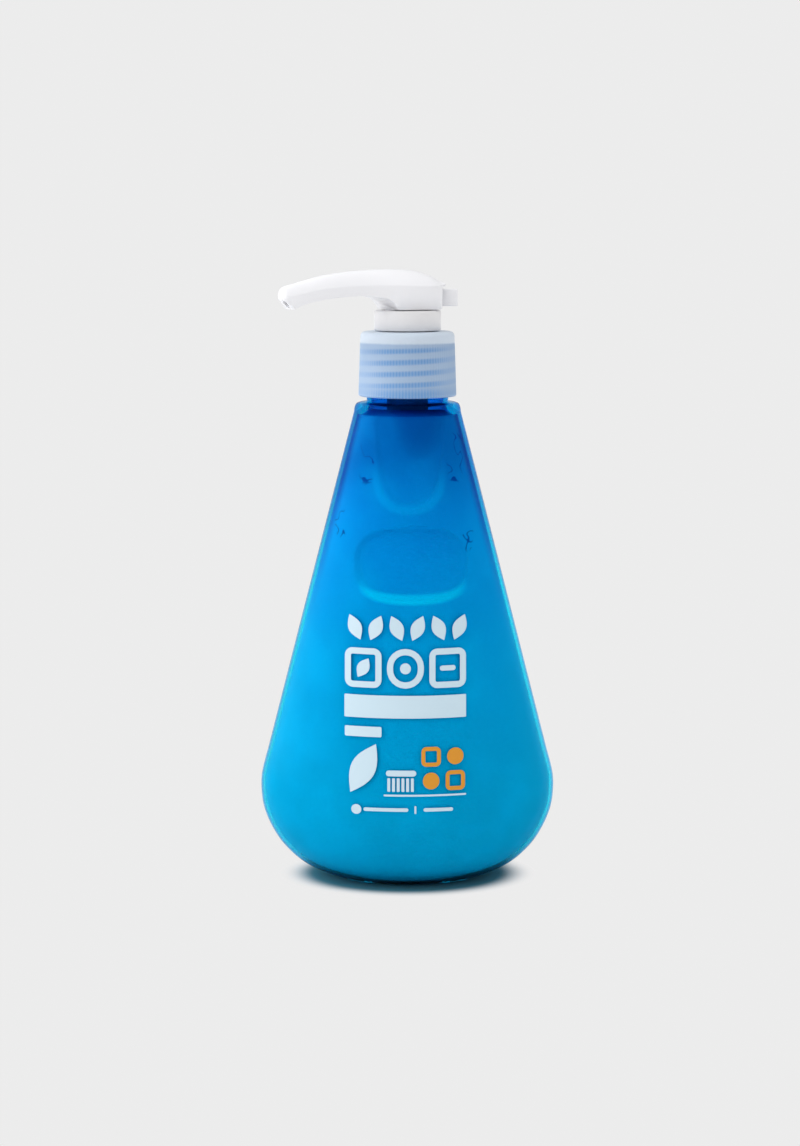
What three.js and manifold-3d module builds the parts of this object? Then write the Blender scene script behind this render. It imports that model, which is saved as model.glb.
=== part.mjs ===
// Pump dispenser for toothpaste: an oval drop-shaped bottle with a screw-on lotion pump.
// All sizes are in millimetres. The bottle stands on z = 0, the pump axis is the z axis,
// and the wide side of the bottle faces -y.

import * as THREE from "three";
import { mergeVertices } from "three/addons/utils/BufferGeometryUtils.js";
import Module from "manifold-3d";

const wasm = await Module();
wasm.setup();

// Clearances between pieces
const restGap = 0.3; // between a piece and the one it rests on
const pressGap = 0.3; // around a pressed-in or snapped-on piece
const slideGap = 0.25; // around the piston and the stem

// Bottle body, as half widths seen from the front
const widestHalfWidth = 42.1;
const widestZ = 26.0;
const coneTopRadius = 15.17;
const coneTopZ = 133.57;
const coneFootHalfWidth = 40.12;
const coneFootHalfDepth = 29.4;
const coneFootZ = 36.74;
const bottleWall = 1.1;
const bottleFloor = 2.0;
const thickFoot = 10; // height up to which the wall is thickened
const standOuter = 17.6; // outer half width of the flat ring that it stands on
const standInner = 14.8;
const puntHeight = 1.2; // how far the middle of the base is raised

// Bottle neck and its thread
const shoulderTopZ = 136.4;
const neckRadius = 11.5;
const neckBore = 10.2;
const neckTopZ = 151.9;
const beadRadius = 12.1;
const beadZ = 139.6;
const threadPitch = 3.175;
const threadCrest = 12.0;
const threadStartZ = 142.9;
const threadTurns = 2.3;

// Closure
const closureFootZ = 138.2;
const closureTopZ = 156.3;
const closureFootRadius = 13.8;
const closureTopRadius = 13.2;
const closureBore = 12.4;
const closurePlate = 1.4;
const closureCorner = 1.3;
const ribCount = 96;
const ribDepth = 0.28;
const ribTopZ = 153.0;
const ribFootZ = 138.9;

// Pump housing
const housingRadius = 5.8;
const housingBore = 4.8;
const flangeRadius = 11.1;
const flangeThickness = 1.1;
const housingFloorZ = 108.0;
const socketRadius = 3.6;
const socketFootZ = 98.0;
const tubeRadius = 2.5;
const tubeBore = 1.8;
const tubeFootZ = 8.5;
const gasketThickness = 1.0;
const wiperThickness = 2.2;

// Locking collar
const collarRadius = 9.4;
const collarTopZ = 162.2;
const collarBore = 6.75;
const collarFloor = 1.3;
const snapWall = 0.9;

// Plunger, in its locked-down place
const inletBallRadius = 2.1;
const outletBallRadius = 1.6;
const outletBore = 1.3;
const cageHeight = 4.0;
const springRadius = 3.4;
const springWire = 0.8;
const springTurns = 6;
const seatFootZ = 124.6; // foot of the lower stem, on top of the compressed spring
const pistonLength = 6.4;
const lowerStemRadius = 2.2;
const lowerStemBore = 1.2;
const stemRadius = 3.3;
const stemFootZ = 132.0;
const stemInsert = 3.2; // how far the stem reaches into the head
const outletSeatRise = 6; // from the stem's foot to the outlet ball's seat
const outletChamber = 3.0;

// Head, along its spout: u runs from the pump axis to the outlet
const headTurn = 204; // degrees, the spout's direction seen from above
const spigotRadius = 6.3;
const rearFaceU = -8.2;
const channelRadius = 1.35;
const plugHalfWidth = 2.6;
const plugRise = 0.7; // from the hub's foot to the lug's foot
const plugHeight = 4.8;
const plugEndU = -14.9;
const plugHoleRadius = 1.8;
const plugPegU = -5.2;

// Sizes that follow from the others
const gasketFootZ = neckTopZ + restGap;
const flangeFootZ = gasketFootZ + gasketThickness + restGap;
const flangeTopZ = flangeFootZ + flangeThickness;
const plateFootZ = closureTopZ - closurePlate;
const collarFootZ = closureTopZ + restGap;
const snapRadius = housingRadius + pressGap + snapWall;
const housingTopZ = collarFootZ - 0.1;
const stemBore = lowerStemRadius + slideGap;
const stemHole = stemRadius + slideGap;
const cageFootZ = housingFloorZ + 2.6;
const cageTopZ = cageFootZ + cageHeight;
const inletBallZ = housingFloorZ + 1.25;
const outletSeatZ = stemFootZ + outletSeatRise;
const outletBallZ = outletSeatZ + 0.15;
const hubFootZ = collarTopZ + restGap;
const spigotFootZ = collarFootZ + collarFloor + restGap;
const stemTopZ = hubFootZ + stemInsert;
const plugFootZ = hubFootZ + plugRise;
const plugTopZ = plugFootZ + plugHeight;

// The straight sides of the body taper less in depth than in width, so its section turns
// from a circle at the shoulder into an oval at the foot.
function depthShare(z) {
  if (z >= coneTopZ) return 1;
  const share = (coneTopZ - Math.max(z, widestZ)) / (coneTopZ - coneFootZ);
  const halfWidth = coneTopRadius + share * (coneFootHalfWidth - coneTopRadius);
  const halfDepth = coneTopRadius + share * (coneFootHalfDepth - coneTopRadius);
  return halfDepth / halfWidth;
}

// Geometry helpers

function makeOval(geometry) {
  const position = geometry.getAttribute("position");
  for (let i = 0; i < position.count; i += 1) {
    position.setY(i, position.getY(i) * depthShare(position.getZ(i)));
  }
  return geometry;
}

// Turns a closed profile of [radius, z] pairs about the z axis.
function turned(profile, segments = 28) {
  const points = profile.map(([radius, z]) => new THREE.Vector2(radius, z));
  const geometry = new THREE.LatheGeometry(points, segments);
  return geometry.rotateX(Math.PI / 2);
}

// A tube or disc with square corners; a bore of 0 makes it solid.
function ring(outer, bore, footZ, topZ, segments = 28) {
  const profile = [
    [bore, footZ],
    [outer, footZ],
    [outer, topZ],
    [bore, topZ],
  ];
  if (bore > 0) profile.push([bore, footZ]);
  return turned(profile, segments);
}

// A solid through rings of points that all have the same count, closed flat at both ends.
function lofted(rings) {
  const count = rings[0].length;
  const positions = rings.flat().flatMap((p) => [p.x, p.y, p.z]);
  const index = [];
  for (let i = 0; i < rings.length - 1; i += 1) {
    for (let j = 0; j < count; j += 1) {
      const a = i * count + j;
      const b = i * count + ((j + 1) % count);
      index.push(a, b, a + count);
      index.push(b, b + count, a + count);
    }
  }
  const last = (rings.length - 1) * count;
  for (let j = 1; j < count - 1; j += 1) {
    index.push(0, j + 1, j);
    index.push(last, last + j, last + j + 1);
  }
  const geometry = new THREE.BufferGeometry();
  geometry.setAttribute("position", new THREE.Float32BufferAttribute(positions, 3));
  geometry.setIndex(index);
  return geometry;
}

// A round rod along a curve.
function rod(curve, radius, steps, sides) {
  const section = new THREE.Shape();
  for (let i = 0; i < sides; i += 1) {
    const angle = (2 * Math.PI * i) / sides;
    const x = radius * Math.cos(angle);
    const y = radius * Math.sin(angle);
    if (i === 0) section.moveTo(x, y);
    else section.lineTo(x, y);
  }
  section.closePath();
  return new THREE.ExtrudeGeometry(section, { steps, extrudePath: curve });
}

class Helix extends THREE.Curve {
  constructor(radius, footZ, pitch, turns) {
    super();
    this.radius = radius;
    this.footZ = footZ;
    this.pitch = pitch;
    this.turns = turns;
  }
  getPoint(t, target = new THREE.Vector3()) {
    const angle = 2 * Math.PI * this.turns * t;
    return target.set(
      this.radius * Math.cos(angle),
      this.radius * Math.sin(angle),
      this.footZ + this.pitch * this.turns * t,
    );
  }
}

function solidOf(geometry) {
  const bare = new THREE.BufferGeometry();
  const flat = geometry.index ? geometry.toNonIndexed() : geometry;
  bare.setAttribute("position", flat.getAttribute("position").clone());
  const merged = mergeVertices(bare, 1e-4);
  const mesh = new wasm.Mesh({
    numProp: 3,
    vertProperties: merged.getAttribute("position").array,
    triVerts: new Uint32Array(merged.index.array),
  });
  return new wasm.Manifold(mesh);
}

function geometryOf(solid) {
  const mesh = solid.getMesh();
  const geometry = new THREE.BufferGeometry();
  geometry.setAttribute("position", new THREE.BufferAttribute(mesh.vertProperties, 3));
  geometry.setIndex(new THREE.BufferAttribute(mesh.triVerts, 1));
  const flat = geometry.toNonIndexed();
  flat.computeVertexNormals();
  return flat;
}

function joinAll(geometries) {
  const [first, ...others] = geometries.map(solidOf);
  return geometryOf(others.reduce((sum, other) => sum.add(other), first));
}

function cutAll(geometry, cutters) {
  return geometryOf(cutters.map(solidOf).reduce((rest, cutter) => rest.subtract(cutter), solidOf(geometry)));
}

// Bottle

// The bowl below the straight sides, from the standing ring up, as [half width, z].
const bowl = [
  [standOuter, 0],
  [20.0, 0.25],
  [22.4, 0.8],
  [25.6, 2.0],
  [28.9, 3.6],
  [31.9, 5.6],
  [34.7, 8.2],
  [37.2, 11.2],
  [39.2, 14.6],
  [40.7, 18.0],
  [41.7, 21.6],
  [widestHalfWidth, widestZ],
  [41.9, 29.6],
  [41.1, 33.2],
  [coneFootHalfWidth, coneFootZ],
];
const coneTop = [coneTopRadius, coneTopZ];

// The bowl and the straight side moved inwards, more at the foot than higher up.
function innerSide(extra) {
  const outer = [...bowl.slice(2), coneTop];
  return outer.map(([halfWidth, z], i) => {
    const before = outer[Math.max(i - 1, 0)];
    const after = outer[Math.min(i + 1, outer.length - 1)];
    const run = Math.hypot(after[0] - before[0], after[1] - before[1]);
    const footShare = Math.max(0, 1 - z / thickFoot) ** 2;
    const wall = bottleWall + footShare * (bottleFloor - bottleWall) + extra;
    const inwards = (after[1] - before[1]) / run;
    const upwards = (before[0] - after[0]) / run;
    return [halfWidth - wall * inwards, z - wall * upwards];
  });
}

function bottle() {
  const outside = [
    [0, puntHeight],
    [9, puntHeight * 0.8],
    [standInner - 1.2, puntHeight * 0.2],
    [standInner, 0],
    ...bowl,
    coneTop,
    [coneTopRadius - 0.25, coneTopZ + 1.5],
    [coneTopRadius - 0.75, shoulderTopZ - 0.35],
    [coneTopRadius - 1.6, shoulderTopZ],
    [neckRadius, shoulderTopZ],
    [neckRadius, beadZ - 0.9],
    [beadRadius, beadZ - 0.3],
    [beadRadius, beadZ + 0.6],
    [neckRadius, beadZ + 1.1],
    [neckRadius, neckTopZ],
  ];
  const floorZ = innerSide(0)[0][1];
  const inside = [
    [0, floorZ],
    ...innerSide(0),
    [neckBore, shoulderTopZ - 0.6],
    [neckBore, neckTopZ],
  ].reverse();
  const body = makeOval(turned([...outside, ...inside], 52));
  const depth = threadCrest - neckRadius;
  const thread = rod(
    new Helix(neckRadius + depth - 0.55, threadStartZ, threadPitch, threadTurns),
    0.55,
    60,
    6,
  );
  return joinAll([body, thread]);
}

// The paste fills the bottle up to its shoulder, around the pump housing and its tube.
const pasteTopZ = 131.5;
const pasteDip = 3.0;

function toothpaste() {
  const side = innerSide(restGap).filter(([, z]) => z < pasteTopZ);
  const [coneHalfWidth, coneZ] = side[side.length - 1];
  const topShare = (pasteTopZ - coneZ) / (coneTopZ - coneZ);
  const topHalfWidth = coneHalfWidth + topShare * (coneTopRadius - bottleWall - restGap - coneHalfWidth);
  const tubeHole = tubeRadius + restGap;
  const housingHole = housingRadius + restGap;
  const profile = [
    [tubeHole, side[0][1]],
    ...side,
    [topHalfWidth, pasteTopZ],
    [housingHole + 3, pasteTopZ - pasteDip * 0.6],
    [housingHole, pasteTopZ - pasteDip],
    [housingHole, housingFloorZ - restGap - 1.2],
    [socketRadius + restGap, housingFloorZ - restGap - 3.2],
    [socketRadius + restGap, socketFootZ - restGap],
    [tubeHole, socketFootZ - restGap - 1],
    [tubeHole, side[0][1]],
  ];
  return makeOvalOutside(turned(profile, 52), housingHole + 0.5);
}

// The bore for the pump stays round while the outside becomes oval.
function makeOvalOutside(geometry, roundWithin) {
  const position = geometry.getAttribute("position");
  for (let i = 0; i < position.count; i += 1) {
    const x = position.getX(i);
    const y = position.getY(i);
    if (Math.hypot(x, y) > roundWithin) {
      position.setY(i, y * depthShare(position.getZ(i)));
    }
  }
  return geometry;
}

// Closure: a thin screw cap with fine upright ribs below a smooth band

function closure() {
  const sides = 2 * ribCount;
  const outerAt = (z) => {
    const share = (z - closureFootZ) / (closureTopZ - closureFootZ);
    return closureFootRadius + share * (closureTopRadius - closureFootRadius);
  };
  const smooth = (radius, z) => circle(sides, z, () => radius);
  const ribbed = (z) => circle(sides, z, (i) => outerAt(z) - (i % 2 ? ribDepth : 0));
  const outside = [
    smooth(outerAt(closureFootZ) - 0.3, closureFootZ),
    smooth(outerAt(closureFootZ), closureFootZ + 0.3),
    smooth(outerAt(ribFootZ), ribFootZ - 0.1),
    ribbed(ribFootZ + 0.1),
    ribbed(ribTopZ - 0.1),
    smooth(outerAt(ribTopZ), ribTopZ + 0.1),
    smooth(outerAt(closureTopZ - closureCorner), closureTopZ - closureCorner),
    smooth(closureTopRadius - closureCorner * 0.12, closureTopZ - closureCorner * 0.5),
    smooth(closureTopRadius - closureCorner * 0.5, closureTopZ - closureCorner * 0.12),
    smooth(closureTopRadius - closureCorner, closureTopZ),
  ];
  return cutAll(lofted(outside), [
    ring(closureBore, 0, closureFootZ - 1, plateFootZ, 48),
    ring(snapRadius + pressGap, 0, plateFootZ - 1, closureTopZ + 1, 32),
  ]);
}

function circle(sides, z, radiusAt) {
  return Array.from({ length: sides }, (_, i) => {
    const angle = (2 * Math.PI * i) / sides;
    const radius = radiusAt(i);
    return new THREE.Vector3(radius * Math.cos(angle), radius * Math.sin(angle), z);
  });
}

// Pump pieces that stay with the closure

function neckGasket() {
  return ring(flangeRadius, neckBore - 2, gasketFootZ, gasketFootZ + gasketThickness, 36);
}

function pumpHousing() {
  return turned([
    [housingBore, flangeTopZ + 0.2],
    [housingBore, housingFloorZ + 2.4],
    [2.6, housingFloorZ + 0.9],
    [1.6, housingFloorZ - 0.6],
    [1.6, housingFloorZ - 2.4],
    [tubeRadius + pressGap, housingFloorZ - 2.4],
    [tubeRadius + pressGap, socketFootZ],
    [socketRadius, socketFootZ],
    [socketRadius, housingFloorZ - 3],
    [housingRadius, housingFloorZ - 0.8],
    [housingRadius, flangeFootZ - 1.6],
    [housingRadius + 1.6, flangeFootZ],
    [flangeRadius, flangeFootZ],
    [flangeRadius, flangeTopZ],
    [housingRadius, flangeTopZ],
    [housingRadius, housingTopZ],
    [housingBore, housingTopZ],
    [housingBore, flangeTopZ + 0.2],
  ], 32);
}

function lockingCollar() {
  const edge = 0.5;
  return turned([
    [stemHole, collarFootZ],
    [housingRadius + pressGap, collarFootZ],
    [housingRadius + pressGap, flangeTopZ + restGap],
    [snapRadius, flangeTopZ + restGap],
    [snapRadius, collarFootZ],
    [collarRadius - 0.2, collarFootZ],
    [collarRadius, collarFootZ + 0.2],
    [collarRadius, collarTopZ - edge],
    [collarRadius - edge * 0.3, collarTopZ - edge * 0.3],
    [collarRadius - edge, collarTopZ],
    [collarBore, collarTopZ],
    [collarBore, collarFootZ + collarFloor],
    [stemHole, collarFootZ + collarFloor],
    [stemHole, collarFootZ],
  ], 48);
}

function dipTube() {
  return ring(tubeRadius, tubeBore, tubeFootZ, housingFloorZ - 2.4 - restGap, 20);
}

function ball(radius, centreZ) {
  return new THREE.SphereGeometry(radius, 18, 12).translate(0, 0, centreZ);
}

// The cage stands on the valve floor, keeps the ball on its seat and carries the spring.
function ballCage() {
  const outer = housingBore - pressGap;
  const bore = inletBallRadius + 0.4;
  const cage = turned([
    [bore, cageFootZ],
    [outer, cageFootZ],
    [outer, cageTopZ],
    [1.3, cageTopZ],
    [1.3, cageTopZ - 0.8],
    [bore, cageTopZ - 1.4],
    [bore, cageFootZ],
  ], 28);
  const slotWidth = 1.4;
  const slots = [0, 1, 2].map((i) =>
    new THREE.BoxGeometry(2 * outer + 2, slotWidth, 1.6)
      .translate(0, 0, cageFootZ + 1.0)
      .rotateZ((i * Math.PI) / 3),
  );
  return cutAll(cage, slots);
}

function returnSpring() {
  const foot = cageTopZ + restGap + springWire / 2;
  const top = seatFootZ - restGap - springWire / 2;
  const pitch = (top - foot) / springTurns;
  return rod(new Helix(springRadius, foot, pitch, springTurns), springWire / 2, 84, 6);
}

// Plunger pieces

function lowerStem() {
  const flange = springRadius + springWire / 2 + 0.2;
  return turned([
    [lowerStemBore, seatFootZ],
    [flange, seatFootZ],
    [flange, seatFootZ + 0.9],
    [lowerStemRadius, seatFootZ + 1.2],
    [lowerStemRadius, outletSeatZ - 0.8],
    [lowerStemRadius - 0.3, outletSeatZ - 0.4],
    [lowerStemBore, outletSeatZ - 1.2],
    [lowerStemBore, seatFootZ],
  ], 24);
}

function piston() {
  const foot = seatFootZ + 1.2 + restGap;
  const top = foot + pistonLength - restGap;
  const lip = housingBore - slideGap;
  const bore = lowerStemRadius + slideGap;
  return turned([
    [bore, foot + 1],
    [lip - 1.1, foot + 1],
    [lip - 0.6, foot],
    [lip, foot],
    [lip - 0.5, foot + 1.6],
    [lip - 0.5, top - 1.6],
    [lip, top],
    [lip - 0.6, top],
    [lip - 1.1, top - 1],
    [bore, top - 1],
    [bore, foot + 1],
  ], 28);
}

function stem() {
  return turned([
    [stemBore, stemFootZ],
    [stemRadius, stemFootZ],
    [stemRadius, stemTopZ],
    [outletBore, stemTopZ],
    [outletBore, outletSeatZ + outletChamber + 1.2],
    [outletBallRadius + 0.3, outletSeatZ + outletChamber + 0.4],
    [outletBallRadius + 0.3, outletSeatZ + 0.4],
    [stemBore, outletSeatZ],
    [stemBore, stemFootZ],
  ], 24);
}

// A soft ring in the top of the housing that wipes the stem.
function stemWiper() {
  const top = collarFootZ - restGap;
  return ring(housingBore - pressGap, stemRadius + slideGap, top - wiperThickness, top, 28);
}

// Head: one moulding with hub, threaded spigot and arched spout

// The side view of the head, as [u, half width, foot, edge, crest]. The last three are
// heights above the hub's foot. The first two stations are a thin lip over the rear lug.
const headStations = [
  [rearFaceU - 1.6, 4.4, 6.4, 6.9, 7.6],
  [rearFaceU - 0.1, 5.6, 6.2, 6.7, 8.2],
  [rearFaceU, 5.7, 0, 6.6, 8.25],
  [-7.2, 6.9, 0, 6.5, 8.9],
  [-5.5, 8.2, 0, 6.4, 9.6],
  [-3.5, 8.7, 0, 6.3, 10.3],
  [-0.7, 8.8, 0, 6.3, 10.85],
  [2.6, 8.7, 0, 6.4, 11.05],
  [5.6, 8.2, 0, 6.5, 11.15],
  [7.2, 7.8, 2.0, 6.55, 11.15],
  [8.6, 7.4, 3.0, 6.6, 11.1],
  [10.6, 6.9, 3.5, 6.6, 11.05],
  [14.0, 6.2, 3.85, 6.6, 10.9],
  [17.5, 5.6, 3.9, 6.5, 10.65],
  [22.0, 5.0, 3.6, 6.25, 10.15],
  [26.6, 4.5, 3.0, 5.8, 9.4],
  [30.2, 4.1, 2.3, 5.15, 8.5],
  [33.0, 3.8, 1.55, 4.5, 7.8],
  [35.3, 3.5, 0.35, 3.9, 7.1],
  [37.2, 3.1, 2.6, 3.95, 6.65],
  [38.0, 2.4, 3.2, 4.1, 6.1],
];

// The middle line of the channel to the outlet, as [u, height above the hub's foot].
const channelLine = [
  [-1, 4.8],
  [7, 6.3],
  [16, 6.8],
  [24.6, 6.2],
  [30.7, 4.9],
  [34.2, 3.4],
  [35.8, 2.2],
  [37.7, 0.3],
];

// Upright sides up to an edge, and a low arch between the two edges.
function headSection([u, halfWidth, foot, edge, crest]) {
  const archSteps = 10;
  const footHalfWidth = halfWidth * 0.96;
  const points = [
    new THREE.Vector3(u, -footHalfWidth, hubFootZ + foot),
    new THREE.Vector3(u, footHalfWidth, hubFootZ + foot),
  ];
  for (let i = 0; i <= archSteps; i += 1) {
    const angle = (Math.PI * i) / archSteps;
    const across = halfWidth * Math.cos(angle);
    const rise = (crest - edge) * Math.sin(angle) ** 2;
    points.push(new THREE.Vector3(u, across, hubFootZ + edge + rise));
  }
  return points;
}

function head() {
  const shell = lofted(headStations.map(headSection));
  const spigot = ring(spigotRadius, 0, spigotFootZ, hubFootZ + 1, 32);
  const line = new THREE.CatmullRomCurve3(
    channelLine.map(([u, rise]) => new THREE.Vector3(u, 0, hubFootZ + rise)),
  );
  const channel = rod(line, channelRadius, 24, 10);
  const socket = ring(stemRadius + pressGap, 0, spigotFootZ - 1, stemTopZ + restGap, 24);
  const riserTopZ = hubFootZ + channelLine[0][1] + channelRadius / 2;
  const riser = ring(outletBore + 0.3, 0, stemTopZ, riserTopZ, 20);
  const plugHole = new THREE.CylinderGeometry(plugHoleRadius, plugHoleRadius, 10, 16)
    .rotateZ(Math.PI / 2)
    .translate(plugPegU - 4.4, 0, (plugFootZ + plugTopZ) / 2);
  return cutAll(joinAll([shell, spigot]), [channel, socket, riser, plugHole]);
}

// The plug closes the hole at the back of the hub and ends in a rounded lug.
function rearPlug() {
  const lugStart = rearFaceU - restGap;
  const outline = new THREE.Shape();
  const round = 1.5;
  const middleZ = (plugFootZ + plugTopZ) / 2;
  outline.moveTo(lugStart, -plugHalfWidth);
  outline.lineTo(lugStart, plugHalfWidth);
  outline.lineTo(plugEndU + round, plugHalfWidth);
  outline.quadraticCurveTo(plugEndU, plugHalfWidth, plugEndU, plugHalfWidth - round);
  outline.lineTo(plugEndU, round - plugHalfWidth);
  outline.quadraticCurveTo(plugEndU, -plugHalfWidth, plugEndU + round, -plugHalfWidth);
  outline.closePath();
  const bevel = 0.35;
  const lug = new THREE.ExtrudeGeometry(outline, {
    depth: plugTopZ - plugFootZ - 2 * bevel,
    bevelSize: bevel,
    bevelOffset: -bevel,
    bevelThickness: bevel,
    bevelSegments: 2,
    curveSegments: 5,
  }).translate(0, 0, plugFootZ + bevel);
  const pegRadius = plugHoleRadius - pressGap;
  const pegLength = plugPegU - lugStart + 0.6;
  const peg = new THREE.CylinderGeometry(pegRadius, pegRadius, pegLength, 16)
    .rotateZ(Math.PI / 2)
    .translate(plugPegU - pegLength / 2, 0, middleZ);
  return joinAll([lug, peg]);
}

// Materials

function plastic(colour, roughness, opacity = 1) {
  return new THREE.MeshStandardMaterial({
    color: colour,
    roughness,
    metalness: 0,
    transparent: opacity < 1,
    opacity,
  });
}

function steel() {
  return new THREE.MeshStandardMaterial({ color: 0xb9bcc0, roughness: 0.3, metalness: 1 });
}

// Assembly

const part = new THREE.Group();
part.name = "toothpaste_pump_dispenser";

function place(name, geometry, material, degrees = 0) {
  const mesh = new THREE.Mesh(geometry, material);
  mesh.name = name;
  mesh.rotation.z = THREE.MathUtils.degToRad(degrees);
  part.add(mesh);
}

place("bottle", bottle(), plastic(0x0b86c9, 0.15, 0.7));
place("toothpaste", toothpaste(), plastic(0x12a5dc, 0.4));
place("closure", closure(), plastic(0xdfe6f2, 0.4));
place("neck_gasket", neckGasket(), plastic(0xe9e9e6, 0.7));
place("pump_housing", pumpHousing(), plastic(0xd9e2ee, 0.4));
place("locking_collar", lockingCollar(), plastic(0xf2f1f2, 0.4));
place("dip_tube", dipTube(), plastic(0xe3e9f0, 0.35));
place("inlet_ball", ball(inletBallRadius, inletBallZ), steel());
place("ball_cage", ballCage(), plastic(0xeceef0, 0.45));
place("return_spring", returnSpring(), steel());
place("lower_stem", lowerStem(), plastic(0xeceef0, 0.4));
place("piston", piston(), plastic(0xdcdfe2, 0.5));
place("stem", stem(), plastic(0xf1f2f4, 0.35));
place("outlet_ball", ball(outletBallRadius, outletBallZ), steel());
place("stem_wiper", stemWiper(), plastic(0xd7dadd, 0.6));
place("head", head(), plastic(0xf7f7f8, 0.35), headTurn);
place("rear_plug", rearPlug(), plastic(0xeff0f4, 0.4), headTurn);

export default part;
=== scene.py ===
import math

import bmesh
import bpy
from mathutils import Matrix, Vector


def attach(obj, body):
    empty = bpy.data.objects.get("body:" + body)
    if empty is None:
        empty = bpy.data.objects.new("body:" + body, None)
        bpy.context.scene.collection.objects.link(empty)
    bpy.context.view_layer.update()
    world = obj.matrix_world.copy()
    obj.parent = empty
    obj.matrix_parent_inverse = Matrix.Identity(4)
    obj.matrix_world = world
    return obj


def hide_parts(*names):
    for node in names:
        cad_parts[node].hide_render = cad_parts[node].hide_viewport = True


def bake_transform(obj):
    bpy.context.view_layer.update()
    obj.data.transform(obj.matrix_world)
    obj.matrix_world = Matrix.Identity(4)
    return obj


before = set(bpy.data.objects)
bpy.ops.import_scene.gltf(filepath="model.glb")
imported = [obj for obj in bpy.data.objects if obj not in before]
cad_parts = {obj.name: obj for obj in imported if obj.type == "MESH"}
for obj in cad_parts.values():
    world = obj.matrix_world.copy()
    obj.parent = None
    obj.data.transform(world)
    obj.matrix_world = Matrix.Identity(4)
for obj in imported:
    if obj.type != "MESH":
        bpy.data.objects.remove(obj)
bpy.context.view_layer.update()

MM = 0.001
SMOOTH_ANGLE = math.radians(40)
CAD_SMOOTH_ANGLE = math.radians(32)
JOIN_DISTANCE = 2e-6  # metres; the CAD's vertices closer than this are one

# Sizes of the bottle, in millimetres, as in the part's source
WIDEST_Z = 26.0
CONE_TOP = (15.17, 133.57)
CONE_FOOT = (40.12, 36.74)
CONE_FOOT_DEPTH = 29.4
SHOULDER_Z = 136.4
NECK_RADIUS = 11.5
NECK_BORE = 10.2
NECK_TOP_Z = 151.9
BEAD_Z = 139.6
BEAD_RADIUS = 12.1
THREAD_PITCH = 3.175
THREAD_CREST = 12.0
THREAD_START_Z = 142.9
THREAD_TURNS = 2.3
WALL = 1.1

# Sizes that only the shown bottle has: the rounding at the neck's foot, the paste's distance
# from the wall, and the height that it reaches there.
NECK_BLEND = 0.5
PASTE_GAP = 0.1
PASTE_TOP_Z = 133.2

# The bead under the thread: radius and height.
BEAD = [
    (NECK_RADIUS, BEAD_Z - 0.9),
    (BEAD_RADIUS, BEAD_Z - 0.3),
    (BEAD_RADIUS, BEAD_Z + 0.6),
    (NECK_RADIUS, BEAD_Z + 1.1),
]

# The hollow under the foot: radius and height.
PUNT = [(0.0, 1.2), (9.0, 0.96), (13.6, 0.24), (14.8, 0.0)]

# The bowl from the foot to the start of the straight side: half width and height.
BOWL = [
    (17.6, 0.0),
    (20.0, 0.25),
    (22.4, 0.8),
    (25.6, 2.0),
    (28.9, 3.6),
    (31.9, 5.6),
    (34.7, 8.2),
    (37.2, 11.2),
    (39.2, 14.6),
    (40.7, 18.0),
    (41.7, 21.6),
    (42.1, 26.0),
    (41.9, 29.6),
    (41.1, 33.2),
    CONE_FOOT,
]


def depth_share(z):
    """How deep the oval section is at a height, as a share of its width."""
    if z >= CONE_TOP[1]:
        return 1.0
    share = (CONE_TOP[1] - max(z, WIDEST_Z)) / (CONE_TOP[1] - CONE_FOOT[1])
    width = CONE_TOP[0] + share * (CONE_FOOT[0] - CONE_TOP[0])
    depth = CONE_TOP[0] + share * (CONE_FOOT_DEPTH - CONE_TOP[0])
    return depth / width


def half_width(z):
    """The bottle's half width at a height on its bowl or its straight side."""
    points = BOWL + [CONE_TOP]
    for low, high in zip(points, points[1:]):
        if low[1] <= z <= high[1]:
            share = (z - low[1]) / (high[1] - low[1])
            return low[0] + share * (high[0] - low[0])
    return CONE_TOP[0]


def front_y(x, z):
    """The y of the bottle's front surface at a point of its front view."""
    width = half_width(z)
    return -width * depth_share(z) * math.sqrt(max(0.0, 1 - (x / width) ** 2))


# Mesh helpers


def smoothed(points, steps):
    """A curve through the points, with the given number of steps between each two."""
    curve = []
    for i in range(len(points) - 1):
        before = Vector(points[max(i - 1, 0)])
        start = Vector(points[i])
        end = Vector(points[i + 1])
        after = Vector(points[min(i + 2, len(points) - 1)])
        for k in range(steps):
            t = k / steps
            a = 2 * start
            b = (end - before) * t
            c = (2 * before - 5 * start + 4 * end - after) * t**2
            d = (3 * start - before - 3 * end + after) * t**3
            curve.append(tuple((a + b + c + d) * 0.5))
    curve.append(points[-1])
    return curve


def moved_inwards(side, wall):
    """A profile moved inwards along its normals."""
    moved = []
    for i, (radius, z) in enumerate(side):
        before = side[max(i - 1, 0)]
        after = side[min(i + 1, len(side) - 1)]
        run = math.hypot(after[0] - before[0], after[1] - before[1])
        inwards = wall * (after[1] - before[1]) / run
        upwards = wall * (before[0] - after[0]) / run
        moved.append((radius - inwards, z - upwards))
    return moved


def smooth_shading(mesh, angle):
    mesh.polygons.foreach_set("use_smooth", [True] * len(mesh.polygons))
    mesh.set_sharp_from_angle(angle=angle)


def new_object(name, vertices, faces):
    mesh = bpy.data.meshes.new(name)
    mesh.from_pydata([Vector(v) * MM for v in vertices], [], faces)
    smooth_shading(mesh, SMOOTH_ANGLE)
    piece = bpy.data.objects.new(name, mesh)
    bpy.context.scene.collection.objects.link(piece)
    return piece


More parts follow.
